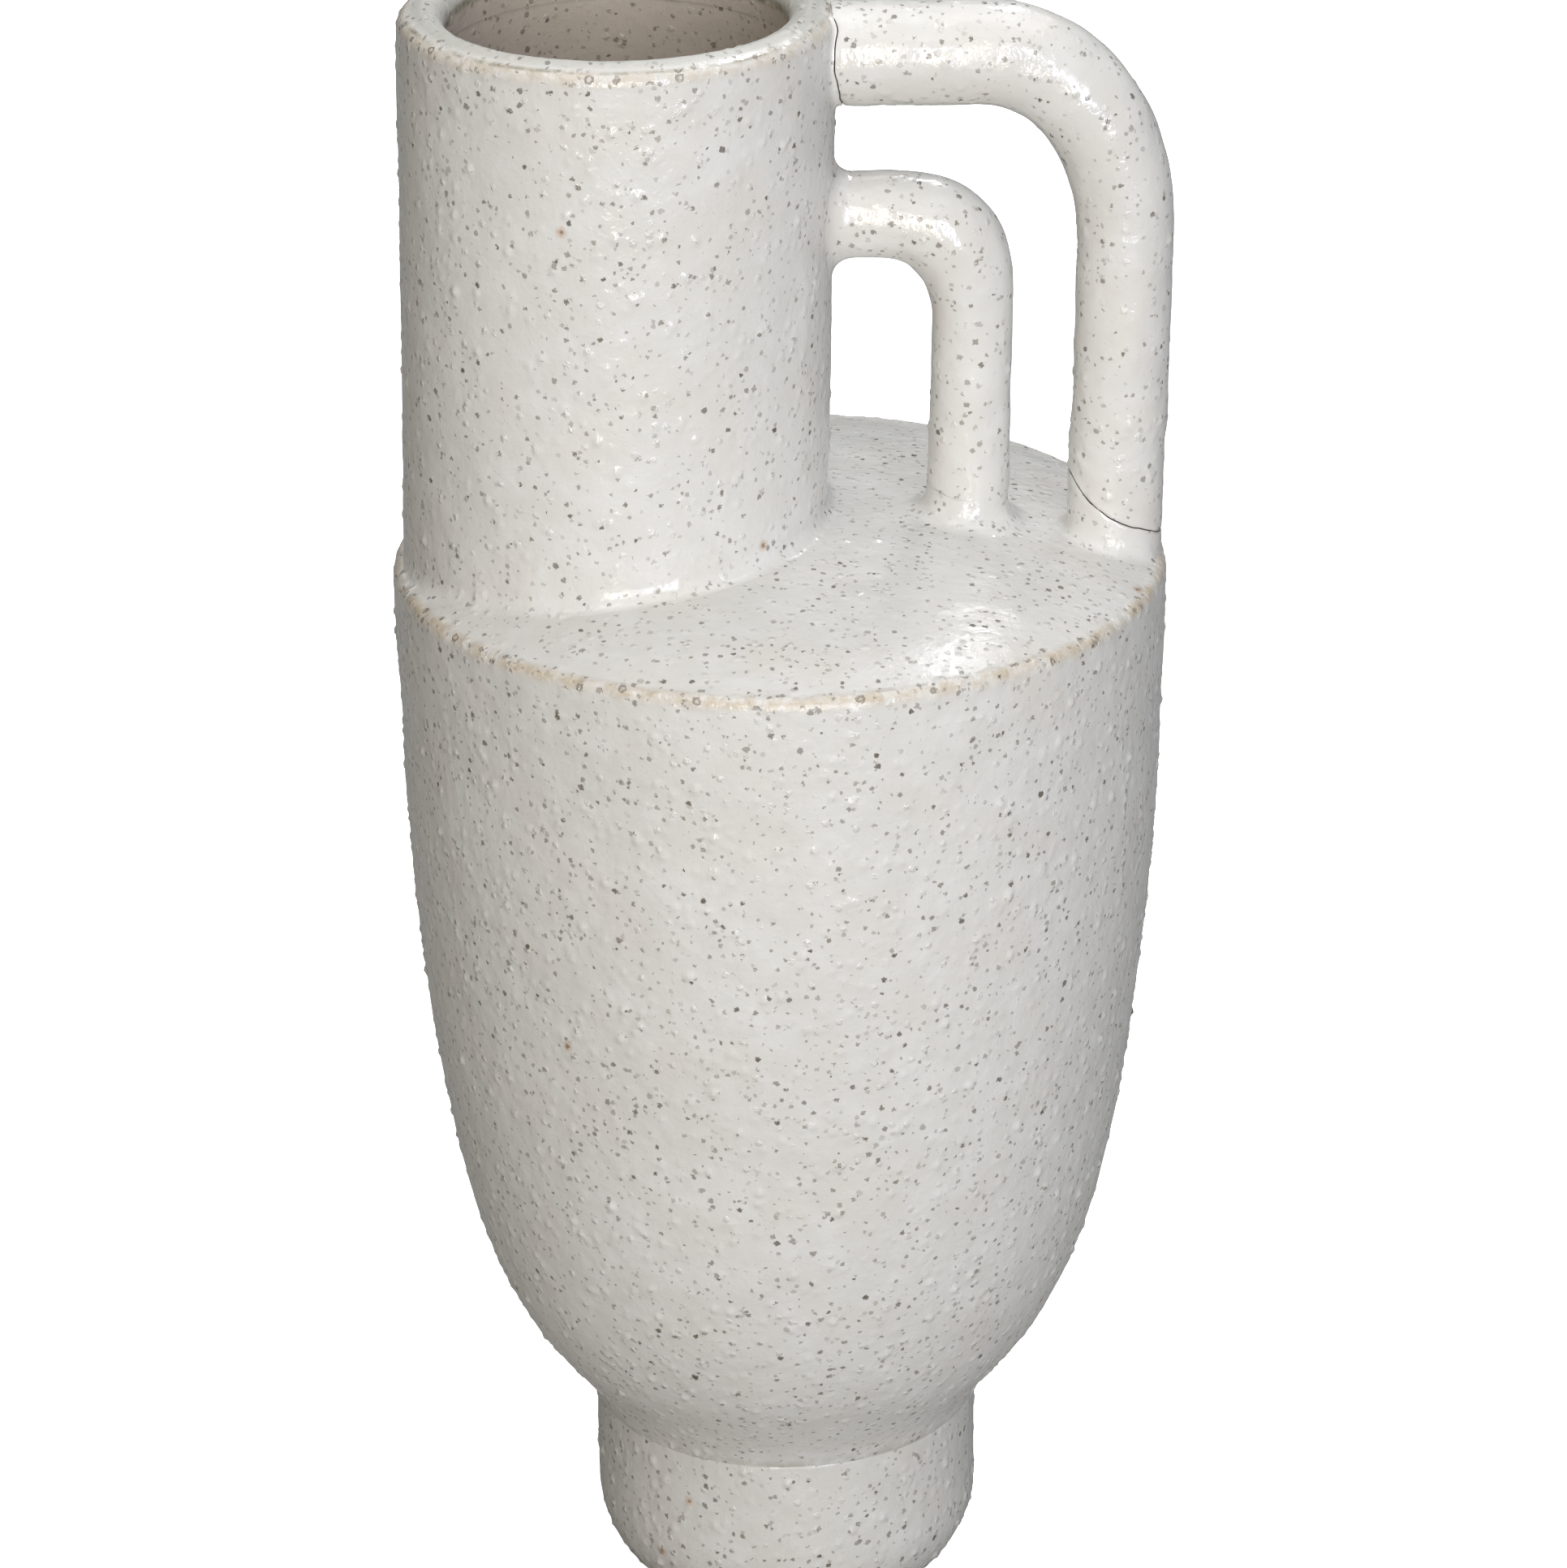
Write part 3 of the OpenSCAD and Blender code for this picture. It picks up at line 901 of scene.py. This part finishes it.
def run_foot(y, z, centre_z, size):
    """The same round the end of a run on the neck wall."""
    away = np.stack([y, z - centre_z], -1)
    away /= np.linalg.norm(away, axis=1, keepdims=True)
    room = np.maximum((MOUTH_Z - 1.4 - z) / np.maximum(away[:, 1], 0.05), 0.4)
    out = np.minimum(size, room)
    fy, fz = y + away[:, 0] * out, z + away[:, 1] * out
    x_c, x_f = neck_face(y, z), neck_face(fy, fz)
    up = size * np.clip(out / size, 0.25, 1)
    bury = ring3(x_c - 2.5, y * 0.8, centre_z + (z - centre_z) * 0.8)
    near, corner = ring3(x_c + up, y, z), ring3(x_c - 0.1, y, z)
    return near, corner, ring3(x_f - 0.06, fy, fz), ring3(x_f - 1.3, fy, fz), bury


stub_size = 4.2 + wobble(out_S.shape[1], 7, 51, 0.5)
near, corner_ring, far, under, bury = leg_foot(out_S, stub_size, BODY_R - 0.5)
x, y = out_S[-3, :, 0], out_S[-3, :, 1]
top = ring3(x, y, seam_height(x, y) - GAP / 2)
highest = corner_ring[:, 2] + 0.75 * (top[:, 2] - corner_ring[:, 2])
near[:, 2] = np.minimum(near[:, 2], highest)
t = np.linspace(0, 1, 9)[:, None, None]
stub_side, stub_flare = top * (1 - t) + near * t, flare(near, corner_ring, far)[1:]
stub_S = np.concatenate([stub_side, stub_flare, under[None], bury[None]])
nip(stub_S, 0)

leg_size = 6.6 + wobble(in_S.shape[1], 7, 52, 0.9)
near, corner_ring, far, under, bury = leg_foot(in_S, leg_size, BODY_R - 3)
inner_leg_S = np.concatenate([flare(near, corner_ring, far), under[None], bury[None]])

root_size = 5.6 + wobble(in_S.shape[1], 7, 53, 0.7)
near, corner_ring, far, under, bury = run_foot(y_in, z_in, IN_RUN, root_size)
inner_neck_S = np.concatenate([flare(near, corner_ring, far), under[None], bury[None]])

z_out = np.minimum(z_run, MOUTH_Z - 1.9)
root_size = 2.6 + wobble(out_S.shape[1], 7, 54, 0.5)
near, corner_ring, far, under, bury = run_foot(y_run, z_out, OUT_Z, root_size)
seam_x = neck_face(y_run, z_out) + neck_seam(y_run, z_run) - GAP / 2
top = ring3(seam_x, y_run, z_run)
farthest = corner_ring[:, 0] + 0.7 * (seam_x - corner_ring[:, 0])
near[:, 0] = np.minimum(near[:, 0], farthest)
t = np.linspace(0, 1, 5)[:, None, None]
root_side, root_flare = top * (1 - t) + near * t, flare(near, corner_ring, far)[1:]
outer_neck_S = np.concatenate([root_side, root_flare, under[None], bury[None]])
nip(outer_neck_S, 0)

# fillet round the neck
nc, ns = np.cos(nth), np.sin(nth)
size = 3.8 + 0.7 * noise(np.stack([50 * nc, 50 * ns, 0 * nc], -1), 17, 55)
cx, cy = NECK_X + NECK_R * nc, NECK_R * ns
z_c = shoulder_z(cx, cy)
push = skin_swell(cx, cy, z_c)
cx, cy = cx + push * nc + lean(z_c), cy + push * ns
z_n = z_c + size
npush = skin_swell(NECK_X + NECK_R * nc, NECK_R * ns, z_n)
near_r = NECK_R + npush - 0.05
near = ring3(NECK_X + near_r * nc + lean(z_n), near_r * ns, z_n)
reach = np.minimum(size, BODY_R - 2.4 - np.hypot(cx, cy))
fx, fy = cx + reach * nc, cy + reach * ns
far = ring3(fx, fy, shoulder_z(fx, fy) - 0.06)
under = far - [0, 0, 1.4]
bury = ring3(cx - 3 * nc, cy - 3 * ns, z_c - 1.5)
neck_coil_S = np.concatenate([flare(near, ring3(cx, cy, z_c), far), under[None], bury[None]])


# ---------------------------------------------------------------- grit pimples, shared by touching pieces
def shown_rows(S, n):
    """One for each point of the first n rows, and zero for the others."""
    return (np.arange(len(S)) < n).astype(float)[:, None] * np.ones(S.shape[:2])


# surface, rows that show, pimples per square millimetre, scale of their height
for S, shown, per_mm2, scale in (
    (body_S, n_body, 0.03, 1.0),
    (foot_S, n_foot, 0.03, 1.1),
    (disc_S, n_disc, 0.01, 0.7),
    (neck_S, n_neck, 0.021, 0.9),
    (lip_S, len(lip_S), 0.014, 0.8),
    (out_S, len(out_S), 0.02, 0.85),
    (in_S, len(in_S), 0.015, 0.8),
):
    seed_pimples(S, per_mm2, scale, shown_rows(S, shown))

# material slots of the pieces; the numbers of the second and third are used for faces and caps
BARE_SLOT, CRACK_SLOT = 1, 2
coarse_set = [coarse_glaze, bare, crack]
neck_set = [neck_glaze, bare, crack]
smooth_set = [smooth_glaze, bare, crack]


def finish_piece(name, S, shown, weight, materials, node, paint=None, **kw):
    """Raises the pimples on a piece, makes its mesh and places it."""
    S = raise_pimples(S, shown_normals(S, shown), weight)
    place(make_mesh(name, S, materials, paint=paints(S, **(paint or {})), **kw), [node])


foot_S = raise_pimples(foot_S, shown_normals(foot_S, n_foot), foot_w)
foot_S[..., 2] = np.maximum(foot_S[..., 2], 0)
wiped = (foot_S[..., 2].mean(1) < 1.3).astype(int) * BARE_SLOT
foot_mesh = make_mesh("foot", foot_S, coarse_set, face_mat=wiped, paint=paints(foot_S, **foot_paint))
place(foot_mesh, ["foot_ring"])
for name, S, shown, materials, node, paint in (
    ("body", body_S, n_body, coarse_set, "body_wall", body_paint),
    ("shoulder", disc_S, n_disc, coarse_set, "shoulder_disc", disc_paint),
    ("neck", neck_S, n_neck, neck_set, "neck_wall", neck_paint),
    ("lip", lip_S, len(lip_S), neck_set, "lip_coil", lip_paint),
):
    finish_piece(name, S, shown, shown_rows(S, shown), materials, node, paint)
coil_w = shown_rows(neck_coil_S, len(neck_coil_S))
finish_piece("neck_fillet", neck_coil_S, len(neck_coil_S) - 2, coil_w, coarse_set, "neck_coil")
for name, S, node, cracked in (
    ("handle_outer", out_S, "outer_handle", True),
    ("handle_inner", in_S, "inner_handle", False),
    ("leg_stub", stub_S, "outer_leg_stub", True),
    ("handle_outer_root", outer_neck_S, "outer_neck_coil", True),
    ("handle_inner_root", inner_neck_S, "inner_neck_coil", False),
    ("handle_inner_foot", inner_leg_S, "inner_leg_coil", False),
):
    ring_piece = len(S) < 14 and not cracked
    cap = CRACK_SLOT if cracked else 0
    weight = shown_rows(S, len(S)) * 0.9
    finish_piece(name, S, len(S), weight, smooth_set, node, loop_v=ring_piece, cap_mat=cap)

# base of the vessel, thrown flat inside the foot, with its spiral of finger marks
SPIRAL_TURNS = 5
MIDDLE = 0.6  # radius at which the base's section ends, short of the axis
low, high = floor_lo[2], floor_hi[2]
base_section = spaced([[MIDDLE, low], [FLOOR_R, low], [FLOOR_R, high], [MIDDLE, high]], STEP)
base_P = revolve(base_section, 160)
a = np.arctan2(base_P[..., 1], base_P[..., 0])
r = r_of(base_P)
wave = np.sin(2 * math.pi * SPIRAL_TURNS * r / FLOOR_R + a) * smooth(FLOOR_R, FLOOR_R - 4, r)
inside = base_P[..., 2] > (low + high) / 2
sandy = 0.12 * noise(base_P, 6, 61) * smooth(FLOOR_R, FLOOR_R - 2, r)
base_P[..., 2] += np.where(inside, 0.35, 0.18) * wave + sandy
place(make_mesh("base", base_P, [bare], loop_v=False, paint=paints(base_P)), ["floor_disc"])

# ---------------------------------------------------------------- floor, light and camera
floor_nodes = Nodes("pale_floor")
paper = floor_nodes.noise(floor_nodes.coord, 6, 3.0, 0.5).outputs["Fac"]
paper = floor_nodes.ramp(paper, 0.3, 0.7)
tone = floor_nodes.mix(paper, rgb(0.93, 0.93, 0.93), rgb(0.96, 0.96, 0.955))
floor_nodes.feed(floor_nodes.bsdf.inputs["Base Color"], tone)
floor_nodes.bsdf.inputs["Roughness"].default_value = 0.9
floor_nodes.bsdf.inputs["Specular IOR Level"].default_value = 0.1
HALF = 30.0  # half the floor's side, in metres
square = [(-HALF, -HALF, 0), (HALF, -HALF, 0), (HALF, HALF, 0), (-HALF, HALF, 0)]


def floor_sheet(name, z, glow, tint=None):
    """A floor that glows by the given amount, like the lit table under a product."""
    mesh = bpy.data.meshes.new(name)
    mesh.from_pydata(square, [], [(0, 1, 2, 3)])
    material = floor_nodes.m.copy()
    shader = material.node_tree.nodes["Principled BSDF"]
    shader.inputs["Emission Color"].default_value = (1.0, 1.0, 1.0, 1.0)
    shader.inputs["Emission Strength"].default_value = glow
    if tint:
        material.node_tree.links.remove(shader.inputs["Base Color"].links[0])
        shader.inputs["Base Color"].default_value = tint
    mesh.materials.append(material)
    o = bpy.data.objects.new(name, mesh)
    o.location.z = z
    bpy.context.scene.collection.objects.link(o)
    return o


# the sheet that shows is lit from beneath, and the one under it only bounces the lights back
lit_floor = floor_sheet("floor", 0.0, 0.9)
lit_floor.visible_diffuse = lit_floor.visible_glossy = lit_floor.visible_shadow = False
bounce_floor = floor_sheet("floor_bounce", -0.0003, 0.0, (0.27, 0.264, 0.252, 1.0))
bounce_floor.visible_camera = False


LIGHT_DISTANCE = 2.2
LIGHT_AIM = Vector((0, 0, 0.22))


def soft_light(name, azimuth, elevation, size, watts, color):
    """A soft box round the vase. Azimuth 0 is the camera's side, 90 is +X."""
    az, el = math.radians(azimuth), math.radians(elevation)
    way = Vector((math.sin(az) * math.cos(el), -math.cos(az) * math.cos(el), math.sin(el)))
    data = bpy.data.lights.new(name, "AREA")
    data.shape = "RECTANGLE"
    data.size, data.size_y = size
    data.energy, data.color = watts, color
    o = bpy.data.objects.new(name, data)
    o.location = LIGHT_AIM + way * LIGHT_DISTANCE
    o.rotation_euler = way.to_track_quat("Z", "Y").to_euler()
    bpy.context.scene.collection.objects.link(o)
    # the lights behind only fill the shadows, without a shine on the shoulder
    o.visible_glossy = name not in ("back_fill", "back_low")


# name, azimuth, elevation, width and height in metres, watts, colour
for light in (
    ("key", 0, 45, (1.0, 1.2), 4.5, (1.0, 1.0, 0.99)),
    ("window_right", 20, 14, (0.5, 1.5), 20.5, (0.9, 0.97, 1.14)),
    ("window_front", -1, 14, (0.35, 1.5), 21.5, (1.1, 1.03, 0.88)),
    ("top", 0, 80, (2.2, 2.4), 18, (0.985, 1.0, 1.015)),
    ("back", 180, 74, (2.2, 2.2), 20, (1.0, 1.0, 1.0)),
    ("back_fill", 175, 45, (2.0, 1.6), 16, (0.94, 1.0, 1.08)),
    ("back_low", 180, 15, (0.9, 1.2), 13, (1.0, 1.0, 1.0)),
    ("glint_right", 161, 50, (0.3, 0.45), 5, (1.0, 1.0, 1.0)),
    ("glint_left", -30, 72, (0.4, 0.4), 2.2, (1.0, 1.0, 1.0)),
):
    soft_light(*light)

world = bpy.data.worlds.new("studio")
world.use_nodes = True
air = world.node_tree
aim = air.nodes.new("ShaderNodeTexCoord").outputs["Generated"]
sides = air.nodes.new("ShaderNodeSeparateXYZ")
air.links.new(aim, sides.inputs[0])
shade = air.nodes.new("ShaderNodeMix")
shade.data_type = "RGBA"
shade.inputs[6].default_value = (0.055, 0.045, 0.03, 1)
shade.inputs[7].default_value = (0.04, 0.047, 0.06, 1)
spread = air.nodes.new("ShaderNodeMapRange")
spread.inputs["From Min"].default_value = -0.8
spread.inputs["From Max"].default_value = 0.8
air.links.new(sides.outputs[0], spread.inputs["Value"])
air.links.new(spread.outputs[0], shade.inputs[0])
air.links.new(shade.outputs[2], air.nodes["Background"].inputs[0])
scene = bpy.context.scene
scene.world = world
scene.view_settings.view_transform = "Standard"

# the camera, where the photograph was taken from: its place in metres and its turns in radians
CAMERA_AT = (0.01481, -1.4, 0.83475)
LENS, SENSOR = 146.77, 36
yaw, down, roll = 0.01016, 0.41932, -0.00812
right = Vector((math.cos(yaw), math.sin(yaw), 0))
level = Vector((-math.sin(yaw), math.cos(yaw), 0))
ahead = level * math.cos(down) - Vector((0, 0, math.sin(down)))
up = level * math.sin(down) + Vector((0, 0, math.cos(down)))
right, up = (
    right * math.cos(roll) + up * math.sin(roll),
    up * math.cos(roll) - right * math.sin(roll),
)
cam_data = bpy.data.cameras.new("camera")
cam_data.sensor_width = SENSOR
cam_data.lens = LENS
cam_data.clip_end = 100
cam = bpy.data.objects.new("camera", cam_data)
turn = Matrix((right, up, -ahead)).transposed().to_4x4()
cam.matrix_world = Matrix.Translation(CAMERA_AT) @ turn
scene.collection.objects.link(cam)
scene.camera = cam
